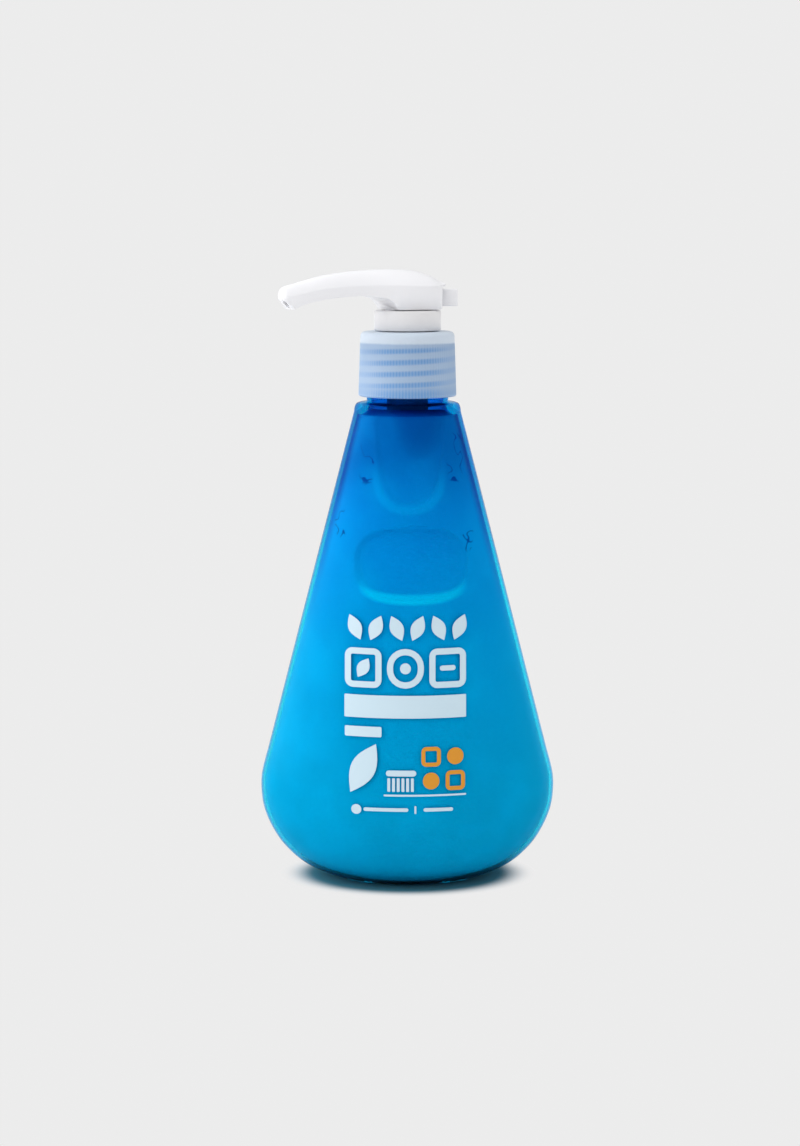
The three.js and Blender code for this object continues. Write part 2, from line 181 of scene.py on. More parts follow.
def turned_piece(name, profile, place, segments=160, closed=False):
    """Turns a profile about the z axis, with each point where place(radius, angle, z) puts it.

    A radius of 0 becomes a single point on the axis.
    """
    vertices = []
    rows = []
    for radius, z in profile:
        if radius < 1e-6:
            rows.append([len(vertices)])
            vertices.append((0.0, 0.0, z))
            continue
        rows.append(list(range(len(vertices), len(vertices) + segments)))
        for i in range(segments):
            vertices.append(place(radius, 2 * math.pi * i / segments, z))
    faces = []
    pairs = list(zip(rows, rows[1:]))
    if closed:
        pairs.append((rows[-1], rows[0]))
    for low, high in pairs:
        for i in range(segments):
            j = (i + 1) % segments
            if len(low) == 1:
                faces.append((low[0], high[j], high[i]))
            elif len(high) == 1:
                faces.append((low[i], low[j], high[0]))
            else:
                faces.append((low[i], low[j], high[j], high[i]))
    return new_object(name, vertices, faces)


def copy_of(node, name):
    """A copy of a CAD node, to be dressed and shown in its place."""
    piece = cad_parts[node].copy()
    piece.data = piece.data.copy()
    piece.name = name
    piece.parent = None
    bpy.context.scene.collection.objects.link(piece)
    return piece


def polished(node, body, slot):
    """A copy of a CAD node with its vertices joined, so that it shades smoothly."""
    piece = copy_of(node, node + "_finish")
    mesh = bmesh.new()
    mesh.from_mesh(piece.data)
    bmesh.ops.remove_doubles(mesh, verts=mesh.verts, dist=JOIN_DISTANCE)
    mesh.to_mesh(piece.data)
    mesh.free()
    smooth_shading(piece.data, CAD_SMOOTH_ANGLE)
    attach(piece, body)
    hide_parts(node)
    return piece


# Shader node groups


class Nodes:
    """Short calls for adding and linking the nodes of one tree."""

    def __init__(self, tree):
        self.tree = tree

    def add(self, kind, **values):
        node = self.tree.nodes.new(kind)
        for name, value in values.items():
            setattr(node, name, value)
        return node

    def link(self, source, target):
        self.tree.links.new(source, target)

    def math(self, operation, first, second=None, clamp=False):
        """One math node. A value is a number or another node's socket."""
        node = self.add("ShaderNodeMath", operation=operation, use_clamp=clamp)
        for socket, value in zip(node.inputs, (first, second)):
            if value is None:
                continue
            if isinstance(value, (int, float)):
                socket.default_value = value
            else:
                self.link(value, socket)
        return node.outputs[0]

    def span(self, value, low, high, to_low=0.0, to_high=1.0):
        """Goes smoothly from to_low to to_high while the value goes from low to high."""
        node = self.add("ShaderNodeMapRange", interpolation_type="SMOOTHSTEP")
        self.link(value, node.inputs["Value"])
        node.inputs["From Min"].default_value = low
        node.inputs["From Max"].default_value = high
        node.inputs["To Min"].default_value = to_low
        node.inputs["To Max"].default_value = to_high
        return node.outputs[0]

    def mix(self, factor, first, second):
        """Mixes two colours, each a tuple or another node's socket."""
        node = self.add("ShaderNodeMix", data_type="RGBA")
        for number, value in ((0, factor), (6, first), (7, second)):
            socket = node.inputs[number]
            if isinstance(value, (int, float)):
                socket.default_value = value
            elif isinstance(value, tuple):
                socket.default_value = (*value, 1.0)
            else:
                self.link(value, socket)
        return node.outputs[2]


def moulded_surface_group():
    """Fine moulding texture: a height for bump, and a roughness that varies a little."""
    group = bpy.data.node_groups.new("moulded_surface", "ShaderNodeTree")
    face = group.interface
    face.new_socket("Roughness", in_out="INPUT", socket_type="NodeSocketFloat")
    face.new_socket("Variation", in_out="INPUT", socket_type="NodeSocketFloat")
    face.new_socket("Grain Scale", in_out="INPUT", socket_type="NodeSocketFloat")
    face.new_socket("Roughness", in_out="OUTPUT", socket_type="NodeSocketFloat")
    face.new_socket("Height", in_out="OUTPUT", socket_type="NodeSocketFloat")
    face.new_socket("Shade", in_out="OUTPUT", socket_type="NodeSocketFloat")
    nodes = Nodes(group)
    given = nodes.add("NodeGroupInput")
    result = nodes.add("NodeGroupOutput")
    place = nodes.add("ShaderNodeTexCoord")
    fine = nodes.add("ShaderNodeTexNoise")
    fine.inputs["Detail"].default_value = 3.0
    nodes.link(place.outputs["Object"], fine.inputs["Vector"])
    nodes.link(given.outputs["Grain Scale"], fine.inputs["Scale"])
    broad = nodes.add("ShaderNodeTexNoise")
    broad.inputs["Scale"].default_value = 60.0
    broad.inputs["Detail"].default_value = 2.0
    nodes.link(place.outputs["Object"], broad.inputs["Vector"])
    shift = nodes.math("SUBTRACT", broad.outputs["Fac"], 0.5)
    change = nodes.math("MULTIPLY", shift, given.outputs["Variation"])
    roughness = nodes.math("ADD", given.outputs["Roughness"], change, clamp=True)
    nodes.link(roughness, result.inputs["Roughness"])
    nodes.link(fine.outputs["Fac"], result.inputs["Height"])
    nodes.link(broad.outputs["Fac"], result.inputs["Shade"])
    return group


def place_group():
    """A point's place in millimetres: across the front, in depth and in height."""
    group = bpy.data.node_groups.new("place_in_mm", "ShaderNodeTree")
    for name in ("Across", "Depth", "Height"):
        group.interface.new_socket(name, in_out="OUTPUT", socket_type="NodeSocketFloat")
    nodes = Nodes(group)
    result = nodes.add("NodeGroupOutput")
    place = nodes.add("ShaderNodeTexCoord")
    parts = nodes.add("ShaderNodeSeparateXYZ")
    nodes.link(place.outputs["Object"], parts.inputs[0])
    for axis, name in enumerate(("Across", "Depth", "Height")):
        nodes.link(nodes.math("MULTIPLY", parts.outputs[axis], 1000.0), result.inputs[name])
    return group


SPOT_SIZES = ("Centre Across", "Centre Height", "Half Width", "Half Height", "Softness")
SPOT_POWER = 2.4  # a little squarer than an ellipse, which has 2


def oval_spot_group():
    """A soft-edged oval spot on the front: 1 inside, 0 outside."""
    group = bpy.data.node_groups.new("oval_spot", "ShaderNodeTree")
    for name in ("Across", "Height", *SPOT_SIZES):
        group.interface.new_socket(name, in_out="INPUT", socket_type="NodeSocketFloat")
    group.interface.new_socket("Mask", in_out="OUTPUT", socket_type="NodeSocketFloat")
    nodes = Nodes(group)
    given = nodes.add("NodeGroupInput").outputs
    result = nodes.add("NodeGroupOutput")
    off = []
    for place, centre, half in (
        ("Across", "Centre Across", "Half Width"),
        ("Height", "Centre Height", "Half Height"),
    ):
        away = nodes.math("SUBTRACT", given[place], given[centre])
        share = nodes.math("ABSOLUTE", nodes.math("DIVIDE", away, given[half]))
        off.append(nodes.math("POWER", share, SPOT_POWER))
    distance = nodes.math("ADD", off[0], off[1])
    depth_inside = nodes.math("SUBTRACT", 1.0, distance)
    inside = nodes.math("DIVIDE", depth_inside, given["Softness"], clamp=True)
    nodes.link(inside, result.inputs["Mask"])
    return group


MOULDED = moulded_surface_group()
PLACE = place_group()
OVAL_SPOT = oval_spot_group()


def group_node(nodes, group, **values):
    """Places a group. An underscore in a value's name stands for a space."""
    node = nodes.add("ShaderNodeGroup")
    node.node_tree = group
    for name, value in values.items():
        node.inputs[name.replace("_", " ")].default_value = value
    return node


def new_material(name):
    material = bpy.data.materials.new(name)
    material.use_nodes = True
    nodes = Nodes(material.node_tree)
    shader = material.node_tree.nodes["Principled BSDF"]
    return material, nodes, shader


def set_inputs(shader, **values):
    """Sets plain numbers on the shader's own sockets."""
    for name, value in values.items():
        shader.inputs[name.replace("_", " ")].default_value = value


def connect(nodes, shader, colour, surface):
    """Links a colour and the moulded surface's roughness to the shader."""
    nodes.link(colour, shader.inputs["Base Color"])
    nodes.link(surface.outputs["Roughness"], shader.inputs["Roughness"])


def add_bump(nodes, shader, height, strength, distance):
    bump = nodes.add("ShaderNodeBump")
    bump.inputs["Strength"].default_value = strength
    bump.inputs["Distance"].default_value = distance
    nodes.link(height, bump.inputs["Height"])
    nodes.link(bump.outputs["Normal"], shader.inputs["Normal"])


def plastic_material(name, colour, shadow_colour, roughness, **extra):
    """Moulded plastic whose colour and gloss vary a little over the surface."""
    material, nodes, shader = new_material(name)
    surface = group_node(nodes, MOULDED, Roughness=roughness, Variation=0.12, Grain_Scale=2500.0)
    connect(nodes, shader, nodes.mix(surface.outputs["Shade"], shadow_colour, colour), surface)
    add_bump(nodes, shader, surface.outputs["Height"], 0.05, 0.0002)
    set_inputs(shader, **extra)
    return material


def bottle_material():
    """Clear blue plastic, drawn thin on the belly and thick at the neck and the foot."""
    material, nodes, shader = new_material("blue_bottle_plastic")
    place = group_node(nodes, PLACE)
    surface = group_node(nodes, MOULDED, Roughness=0.04, Variation=0.04, Grain_Scale=300.0)
    height = place.outputs["Height"]
    thin = (0.0, 0.86, 1.0)
    thick = (0.0, 0.72, 0.98)
    neck = (0.0, 0.31, 0.74)
    foot = (0.9, 0.7, 0.95)
    seen_edge_on = (0.0, 0.2, 0.6)
    colour = nodes.mix(nodes.span(height, 60.0, 130.0), thin, thick)
    colour = nodes.mix(nodes.span(height, 132.5, 135.0), colour, neck)
    colour = nodes.mix(nodes.span(height, 0.0, 1.6, 1.0, 0.0), colour, foot)
    facing = nodes.add("ShaderNodeLayerWeight").outputs["Facing"]
    upper_part = nodes.span(height, 70.0, 125.0)
    wide_edge = nodes.math("MULTIPLY", nodes.span(facing, 0.42, 0.6), upper_part)
    edge = nodes.math("MAXIMUM", nodes.span(facing, 0.62, 0.82), wide_edge)
    colour = nodes.mix(edge, colour, seen_edge_on)
    connect(nodes, shader, colour, surface)
    add_bump(nodes, shader, surface.outputs["Height"], 0.02, 0.0005)
    set_inputs(shader, Transmission_Weight=1.0, IOR=1.06)
    return material


# Marks in the paste on the front: painted shade in the lower hollow and over the pump housing,
# painted highlights on the lit edges of the two hollows, and the zones of hair-like marks. Each
# is centre across and up, half sizes and softness, in millimetres apart from the last.
# Painted shade: the lower hollow in the paste, darkened.
POCKET_SHADE = (1.0, 93.0, 16.0, 9.8, 0.5)
# Painted highlight: the lit lower edge of the lower hollow.
LOWER_HOLLOW_HIGHLIGHT = (1.4, 86.6, 15.4, 5.2, 0.35)
LOWER_HOLLOW_HIGHLIGHT_BITE = (1.4, 89.0, 15.8, 5.0, 0.35)
# Painted highlight: the lit rim of the upper hollow, fading out upwards.
UPPER_HOLLOW_HIGHLIGHT = (0.4, 117.5, 10.6, 11.5, 0.2)
UPPER_HOLLOW_HIGHLIGHT_BITE = (0.4, 119.5, 9.0, 11.3, 0.3)
# Painted shade where the pump housing and the top of the upper hollow darken the paste in front of
# them.
HOUSING_SHADE = (3.2, 138.0, 8.0, 17.0, 0.8)
SQUIGGLE_SPOTS = [
    (-11.4, 120.5, 2.4, 6.5, 0.4),
    (13.2, 121.5, 2.6, 7.5, 0.4),
    (16.8, 100.0, 1.6, 4.5, 0.4),
    (-18.6, 103.5, 1.8, 4.5, 0.4),
]


def spot(nodes, place, numbers):
    """The mask of one oval spot."""
    node = group_node(nodes, OVAL_SPOT)
    for name, value in zip(SPOT_SIZES, numbers):
        node.inputs[name].default_value = value
    nodes.link(place.outputs["Across"], node.inputs["Across"])
    nodes.link(place.outputs["Height"], node.inputs["Height"])
    return node.outputs["Mask"]


def rim(nodes, place, whole, bite):
    """What is left of one oval spot outside another."""
    left_over = nodes.math("SUBTRACT", 1.0, spot(nodes, place, bite))
    return nodes.math("MULTIPLY", spot(nodes, place, whole), left_over)


def squiggles(nodes, place):
    """The mask of the fine hair-like marks, inside their spots."""
    crack = nodes.add("ShaderNodeTexNoise")
    crack.inputs["Scale"].default_value = 240.0
    crack.inputs["Detail"].default_value = 1.0
    texture_place = nodes.add("ShaderNodeTexCoord")
    nodes.link(texture_place.outputs["Object"], crack.inputs["Vector"])
    off = nodes.math("ABSOLUTE", nodes.math("SUBTRACT", crack.outputs["Fac"], 0.5))
    line = nodes.span(off, 0.01, 0.028, 1.0, 0.0)
    zone = spot(nodes, place, SQUIGGLE_SPOTS[0])
    for numbers in SQUIGGLE_SPOTS[1:]:
        zone = nodes.math("MAXIMUM", zone, spot(nodes, place, numbers))
    return nodes.math("MULTIPLY", line, zone)


def paste_material():
    """Opaque cyan paste, bluer towards the shoulder, smeared where it was filled, painted with shade
    and highlights on the front.
    """
    material, nodes, shader = new_material("cyan_paste")
    place = group_node(nodes, PLACE)
    surface = group_node(nodes, MOULDED, Roughness=0.5, Variation=0.2, Grain_Scale=400.0)
    height = place.outputs["Height"]
    low_down = (0.0, 0.49, 0.69)
    half_way_up = (0.0, 0.45, 0.78)
    near_shoulder = (0.0, 0.25, 0.52)
    colour = nodes.mix(nodes.span(height, 15.0, 100.0), low_down, half_way_up)
    colour = nodes.mix(nodes.span(height, 104.0, 128.0), colour, near_shoulder)
    streak = nodes.span(surface.outputs["Shade"], 0.4, 0.75)
    colour = nodes.mix(nodes.math("MULTIPLY", streak, 0.3), colour, (0.0, 0.7, 0.95))

    front = nodes.math("LESS_THAN", place.outputs["Depth"], 0.0)
    # Painted highlights on the rims of the two hollows.
    arms_fade = nodes.span(height, 110.0, 122.0, 0.4, 0.0)
    arms = nodes.math("MULTIPLY", rim(nodes, place, UPPER_HOLLOW_HIGHLIGHT, UPPER_HOLLOW_HIGHLIGHT_BITE), arms_fade)
    painted_highlight = nodes.math("MAXIMUM", rim(nodes, place, LOWER_HOLLOW_HIGHLIGHT, LOWER_HOLLOW_HIGHLIGHT_BITE), arms)
    # Painted shade and painted highlights, then the hair-like marks, all on the front only.
    for mask, strength, tint in (
        (spot(nodes, place, POCKET_SHADE), 0.45, (0.0, 0.36, 0.7)),
        (painted_highlight, 0.85, (0.02, 0.85, 1.0)),
        (spot(nodes, place, HOUSING_SHADE), 0.75, (0.0, 0.13, 0.36)),
        (squiggles(nodes, place), 0.8, (0.0, 0.03, 0.3)),
    ):
        on_front = nodes.math("MULTIPLY", mask, front)
        colour = nodes.mix(nodes.math("MULTIPLY", on_front, strength), colour, tint)
    connect(nodes, shader, colour, surface)
    add_bump(nodes, shader, surface.outputs["Height"], 0.1, 0.0005)
    set_inputs(shader, Specular_IOR_Level=0.2)
    return material


# The neck's thread shines through the frosted closure as blue bands, weaker at its two sides.
BAND_Z = 152.2
SMOOTH_BAND_Z = 153.2
RIB_COUNT = 96


def closure_material():
    """Frosted plastic with the blue neck and its thread showing through between the ribs."""
    material, nodes, shader = new_material("frosted_closure")
    place = group_node(nodes, PLACE)
    surface = group_node(nodes, MOULDED, Roughness=0.34, Variation=0.1, Grain_Scale=3000.0)
    height = place.outputs["Height"]
    pale = (0.43, 0.57, 0.77)
    smooth = (0.66, 0.75, 0.86)
    blue = (0.15, 0.36, 0.72)
    angle = nodes.math("ARCTAN2", place.outputs["Depth"], place.outputs["Across"])
    turns = nodes.math("DIVIDE", angle, 2 * math.pi)
    above_band = nodes.math("SUBTRACT", height, BAND_Z)
    climbed = nodes.math("SUBTRACT", nodes.math("DIVIDE", above_band, THREAD_PITCH), turns)
    wave = nodes.math("COSINE", nodes.math("MULTIPLY", climbed, 2 * math.pi))
    bands = nodes.span(wave, -0.6, 0.95)
    foot_band = nodes.span(height, 139.4, 142.0, 1.0, 0.0)
    shine = nodes.math("MAXIMUM", bands, foot_band)
    low = nodes.span(height, SMOOTH_BAND_Z - 2.0, SMOOTH_BAND_Z, 1.0, 0.0)
    ribs = nodes.math("COSINE", nodes.math("MULTIPLY", angle, RIB_COUNT))
    between = nodes.span(ribs, -1.0, 1.0, 0.95, 0.6)
    shine = nodes.math("MULTIPLY", nodes.math("MULTIPLY", shine, low), between)
    aside = nodes.math("ABSOLUTE", place.outputs["Across"])
    shine = nodes.math("MULTIPLY", shine, nodes.span(aside, 4.5, 12.5, 0.95, 0.4))
    colour = nodes.mix(nodes.span(height, SMOOTH_BAND_Z - 0.4, SMOOTH_BAND_Z + 0.4), pale, smooth)
    colour = nodes.mix(shine, colour, blue)
    connect(nodes, shader, colour, surface)
    add_bump(nodes, shader, surface.outputs["Height"], 0.05, 0.0002)
    set_inputs(shader, Transmission_Weight=0.12, IOR=1.3)
    return material


def steel_material():
    material, nodes, shader = new_material("stainless_wire")
    surface = group_node(nodes, MOULDED, Roughness=0.28, Variation=0.2, Grain_Scale=4000.0)
    colour = nodes.mix(surface.outputs["Shade"], (0.42, 0.43, 0.45), (0.62, 0.63, 0.65))
    connect(nodes, shader, colour, surface)
    add_bump(nodes, shader, surface.outputs["Height"], 0.1, 0.0001)
    set_inputs(shader, Metallic=1.0)
    return material


def paint(piece, material):
    piece.data.materials.clear()
    piece.data.materials.append(material)


# Bottle and paste


def oval(radius, angle, z):
    """A point of the bottle's oval section."""
    return (radius * math.cos(angle), radius * math.sin(angle) * depth_share(z), z)


THREAD_HALF_HEIGHT = 0.75
THREAD_ROUNDNESS = 0.6
THREAD_LEAD_IN = 0.02  # turns by which the thread starts early
THREAD_RAMP = 8  # the thread grows to its full height in an eighth of a turn


def threaded(radius, angle, z):
    """The neck's outside, with its thread as a rounded ridge that winds up it."""
    if abs(radius - NECK_RADIUS) < 1e-6 and z > BEAD_Z + 1.5:
        turns = angle / (2 * math.pi)
        along = (z - THREAD_START_Z) / THREAD_PITCH - turns
        nearest = round(along)
        wound = turns + nearest
        if -THREAD_LEAD_IN <= wound <= THREAD_TURNS:
            off = (along - nearest) * THREAD_PITCH
            start_ramp = (wound + THREAD_LEAD_IN) * THREAD_RAMP
            end_ramp = (THREAD_TURNS - wound) * THREAD_RAMP
            ramp = min(1.0, start_ramp, end_ramp)
            ridge = max(0.0, 1 - (off / THREAD_HALF_HEIGHT) ** 2) ** THREAD_ROUNDNESS
            radius += (THREAD_CREST - NECK_RADIUS) * ramp * ridge
    return oval(radius, angle, z)


def straight(start, end, steps):
    """Even points on the straight line between two points, without the first."""
    return [
        (start[0] + (end[0] - start[0]) * i / steps, start[1] + (end[1] - start[1]) * i / steps)
        for i in range(1, steps + 1)
    ]


def make_bottle():
    cone = straight(CONE_FOOT, CONE_TOP, 12)
    shoulder = [
        CONE_TOP,
        (CONE_TOP[0] - 0.25, CONE_TOP[1] + 1.5),
        (CONE_TOP[0] - 0.75, SHOULDER_Z - 0.35),
        (CONE_TOP[0] - 1.6, SHOULDER_Z),
    ]
    thread_rows = [BEAD_Z + 1.6 + 0.25 * i for i in range(37)]
    outside = [
        *PUNT,
        *smoothed(BOWL, 4),
        *cone,
        *smoothed(shoulder, 3)[1:],
        (NECK_RADIUS + NECK_BLEND, SHOULDER_Z),
        (NECK_RADIUS, SHOULDER_Z + 0.3),
        *BEAD,
        *[(NECK_RADIUS, z) for z in thread_rows],
        (NECK_RADIUS, NECK_TOP_Z),
    ]
    inner = moved_inwards(smoothed(BOWL[1:], 4) + cone, WALL)
    bore = [(NECK_BORE, SHOULDER_Z - 0.6), (NECK_BORE, NECK_TOP_Z)]
    inside = [(0.0, inner[0][1]), *inner, *bore]
    return turned_piece("bottle_clear", outside + inside[::-1], threaded)


# The hollows that the paste left against the wall: centre across and up, half sizes,
# depth and how square the outline is, all in millimetres apart from the last.
POCKETS = [
    (1.0, 93.0, 15.5, 9.6, 2.6, 2.6),
    (0.6, 136.0, 9.6, 27.5, 1.0, 2.6),
]


def pocket_depth(x, y, z):
    """How far the paste is set back from the wall at a point of its front."""
    if y > 0:
        return 0.0
    deepest = 0.0
    for centre_x, centre_z, half_x, half_z, depth, power in POCKETS:
        off = abs((x - centre_x) / half_x) ** power + abs((z - centre_z) / half_z) ** power
        if off < 1:
            deepest = max(deepest, depth * (1 - off) ** 0.5)
    return deepest


# The well in the paste around the pump: radii and heights, then the crest around the well
# and the number of rows up the paste's side.
HOUSING_WELL = 6.1
HOUSING_FOOT_Z = 106.5
CAGE_WELL = 3.9
CAGE_TOP_Z = 104.5
CAGE_FOOT_Z = 97.7
TUBE_WELL = 2.8
TUBE_TOP_Z = 96.7
PASTE_CREST = 1.7
PASTE_ROWS = 110


def make_paste():
    side = moved_inwards(smoothed(BOWL[1:], 3), WALL + PASTE_GAP)
    top_width = half_width(PASTE_TOP_Z) - WALL - PASTE_GAP
    cone = straight(side[-1], (top_width, PASTE_TOP_Z), PASTE_ROWS)
    inner = [
        (10.6, PASTE_TOP_Z + PASTE_CREST),
        (8.0, PASTE_TOP_Z + PASTE_CREST),
        (HOUSING_WELL, PASTE_TOP_Z + 0.4),
        (HOUSING_WELL, HOUSING_FOOT_Z),
        (CAGE_WELL, CAGE_TOP_Z),
        (CAGE_WELL, CAGE_FOOT_Z),
        (TUBE_WELL, TUBE_TOP_Z),
        (TUBE_WELL, side[0][1]),
    ]

    def place(radius, angle, z):
        if radius < HOUSING_WELL + 0.5:
            return (radius * math.cos(angle), radius * math.sin(angle), z)
        x, y, z = oval(radius, angle, z)
        back = pocket_depth(x, y, z)
        share = 1 - back / max(radius, 1.0)
        return (x * share, y * share, z)

    return turned_piece("paste_fill", side + cone + inner, place, segments=192, closed=True)


def dress_body():
    bottle = make_bottle()
    paint(bottle, bottle_material())
    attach(bottle, "bottle_body")
    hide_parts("bottle")
    paste = make_paste()
    paint(paste, paste_material())
    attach(paste, "bottle_body")
    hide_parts("toothpaste")


# Print: plain fields and simple shapes, each an outline in the front view, in millimetres


def on_circle(centre_x, centre_z, radius, angle):
    return (centre_x + radius * math.cos(angle), centre_z + radius * math.sin(angle))


def bar(left, right, foot, top, corner):
    """A bar with rounded corners."""
    corner = min(corner, (right - left) / 2, (top - foot) / 2)
    outline = []
    for centre_x, centre_z, start in (
        (right - corner, top - corner, 0),
        (left + corner, top - corner, 90),
        (left + corner, foot + corner, 180),
        (right - corner, foot + corner, 270),
    ):
        for step in range(7):
            angle = math.radians(start + 15 * step)
            outline.append(on_circle(centre_x, centre_z, corner, angle))
    return outline


def disc(centre_x, centre_z, radius):
    return [on_circle(centre_x, centre_z, radius, math.radians(angle)) for angle in range(0, 360, 10)]


def leaf(centre_x, centre_z, half_wide, half_high, lean):
    """A pointed leaf, leaning by an angle in degrees."""
    outline = []
    angle = math.radians(lean)
    for side in (1, -1):
        for step in range(12):
            t = step / 12
            up = half_high * (1 - 2 * t) * side
            out = half_wide * math.sin(math.pi * t) * side
            outline.append(
                (
                    centre_x + out * math.cos(angle) + up * math.sin(angle),
                    centre_z - out * math.sin(angle) + up * math.cos(angle),
                )
            )
    return outline


def frame_of(left, right, foot, top, corner, stroke):
    """A bar's outline drawn as a stroke of even width, as a list of quads."""
    outer = bar(left, right, foot, top, corner)
    inner_corner = max(corner - stroke, 0.1)
    inner = bar(left + stroke, right - stroke, foot + stroke, top - stroke, inner_corner)
    quads = []
    for i in range(len(outer)):
        j = (i + 1) % len(outer)
        quads.append([outer[i], outer[j], inner[j], inner[i]])
    return quads


WHITE_SHAPES = [
    *[leaf(-14.6 + 5.8 * i, 75.6, 1.9, 3.7, 24 if i % 2 else -24) for i in range(6)],
    *frame_of(-17.4, -7.2, 59.2, 70.0, 2.2, 1.7),
    leaf(-12.3, 64.6, 1.7, 3.0, 30),
    *frame_of(-5.7, 4.5, 59.2, 70.0, 5.0, 1.7),
    disc(-0.6, 64.6, 1.5),
    *frame_of(6.0, 16.2, 59.2, 70.0, 2.2, 1.7),
    bar(8.9, 13.3, 63.9, 65.3, 0.7),
    bar(-17.5, 16.2, 51.0, 57.2, 0.2),
    bar(-17.4, -7.2, 45.8, 48.6, 0.4),
    leaf(-12.3, 37.2, 3.4, 7.6, 28),
    bar(-6.6, 16.2, 29.7, 30.2, 0.2),
    bar(-6.0, 2.4, 35.2, 36.8, 0.8),
    *[bar(-5.6 + 1.3 * i, -4.8 + 1.3 * i, 31.0, 34.7, 0.2) for i in range(6)],
    disc(-14.2, 25.8, 1.4),
    bar(-12.2, 0.2, 25.4, 26.4, 0.5),
    bar(1.9, 2.4, 24.8, 27.0, 0.1),
    bar(4.4, 12.6, 25.4, 26.4, 0.5),
]
ORANGE_SHAPES = [
    *frame_of(3.8, 9.2, 37.8, 43.2, 1.4, 1.1),
    disc(13.2, 40.5, 2.3),
    disc(6.5, 33.9, 2.3),
    *frame_of(10.5, 15.9, 31.2, 36.6, 1.4, 1.1),
]
INK_LIFT = 0.04
INK_THICKNESS = 0.03

# Where the flat shapes are cut, so that they can follow the bottle's curve.
CUTS_ACROSS = range(-18, 19)
CUTS_UP = range(22, 82, 3)


def everything(mesh):
    return mesh.verts[:] + mesh.edges[:] + mesh.faces[:]


def make_print(name, shapes, material):
    """Lays the shapes on the bottle's front as a thin film of ink."""
    ink = bmesh.new()
    for outline in shapes:
        ink.faces.new([ink.verts.new((x, 0.0, z)) for x, z in outline])
    for x in CUTS_ACROSS:
        bmesh.ops.bisect_plane(ink, geom=everything(ink), plane_co=(x, 0, 0), plane_no=(1, 0, 0))
    for z in CUTS_UP:
        bmesh.ops.bisect_plane(ink, geom=everything(ink), plane_co=(0, 0, z), plane_no=(0, 0, 1))
    bmesh.ops.remove_doubles(ink, verts=ink.verts, dist=1e-4)
    under = bmesh.ops.duplicate(ink, geom=everything(ink))
    lower = {item for item in under["geom"] if isinstance(item, bmesh.types.BMVert)}
    twins = under["edge_map"]
    pairs = [
        (edge, twins[edge])
        for edge in ink.edges
        if edge in twins and len(edge.link_faces) == 1 and edge.verts[0] not in lower
    ]
    for edge, twin in pairs:
        first, second = edge.verts
        other_first, other_second = twin.verts
        ink.faces.new((first, second, other_second, other_first))
    for vert in ink.verts:
        lift = INK_LIFT if vert in lower else INK_LIFT + INK_THICKNESS
        vert.co.y = front_y(vert.co.x, vert.co.z) - lift
    bmesh.ops.recalc_face_normals(ink, faces=ink.faces)
    bmesh.ops.scale(ink, vec=(MM, MM, MM), verts=ink.verts)
    mesh = bpy.data.meshes.new(name)
    ink.to_mesh(mesh)
    ink.free()
    smooth_shading(mesh, SMOOTH_ANGLE)
    piece = bpy.data.objects.new(name, mesh)
    bpy.context.scene.collection.objects.link(piece)
    paint(piece, material)
    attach(piece, "bottle_body")


def dress_front():
    white_ink = plastic_material("white_ink", (0.6, 0.75, 0.84), (0.55, 0.71, 0.81), 0.4)
    orange_ink = plastic_material("orange_ink", (0.72, 0.3, 0.01), (0.66, 0.26, 0.01), 0.4)
    make_print("front_print_white", WHITE_SHAPES, white_ink)
    make_print("front_print_orange", ORANGE_SHAPES, orange_ink)


# Closure, collar, head and the pump's inner pieces


def dress_pump():
    frosted = closure_material()
    white = plastic_material("white_head_plastic", (0.875, 0.875, 0.9), (0.845, 0.845, 0.875), 0.34)
    collar = plastic_material("white_collar_plastic", (0.79, 0.78, 0.79), (0.75, 0.74, 0.75), 0.38)
    inner = plastic_material("white_inner_plastic", (0.8, 0.82, 0.84), (0.74, 0.77, 0.8), 0.35)
    housing = plastic_material(
        "natural_housing_plastic", (0.5, 0.55, 0.62), (0.42, 0.48, 0.56), 0.3, Transmission_Weight=0.3
    )
    soft = plastic_material("soft_seal_plastic", (0.76, 0.77, 0.78), (0.68, 0.69, 0.7), 0.6)
    steel = steel_material()
    finishes = [
        ("closure", "closure_ring", "frosted_closure", frosted),
        ("locking_collar", "pump_unit", "white_collar", collar),
        ("head", "actuator", "white_head", white),
        ("rear_plug", "actuator", "white_head", white),
        ("pump_housing", "pump_unit", "clear_housing", housing),
        ("dip_tube", "pump_unit", "tube", inner),
        ("neck_gasket", "pump_unit", "soft_seal", soft),
        ("stem_wiper", "pump_unit", "soft_seal", soft),
        ("ball_cage", "pump_unit", "white_inner", inner),
        ("stem", "plunger", "white_inner", inner),
        ("lower_stem", "plunger", "white_inner", inner),
        ("piston", "plunger", "soft_seal", soft),
        ("inlet_ball", "inlet_valve", "steel", steel),
        ("outlet_ball", "outlet_valve", "steel", steel),
    ]
    for node, body, slot, material in finishes:
        paint(polished(node, body, slot), material)
    dress_spring(steel)


def dress_spring(steel):
    """The spring hangs between the housing and the plunger."""
    spring = copy_of("return_spring", "return_spring_wire")
    paint(spring, steel)
    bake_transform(spring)
    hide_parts("return_spring")


# Stage: floor, light and camera

BACKGROUND = (0.84, 0.84, 0.84)
KEY_DIRECTION = Vector((-0.95, 0.0, 0.36)).normalized()  # a wide soft light on the left
KEY_STRENGTH = 2.2
KEY_FOCUS = 2.5
SIDE_STRENGTH = 0.45  # a weaker one on the right
TOP_STRENGTH = 0.43
FILL_STRENGTH = 0.4

FLOOR_HALF_SIZE = 6.0
SHADOW_HALF_SIZES = (0.035, 0.0255, 1.0)  # the oval in which the floor shows the contact shadow
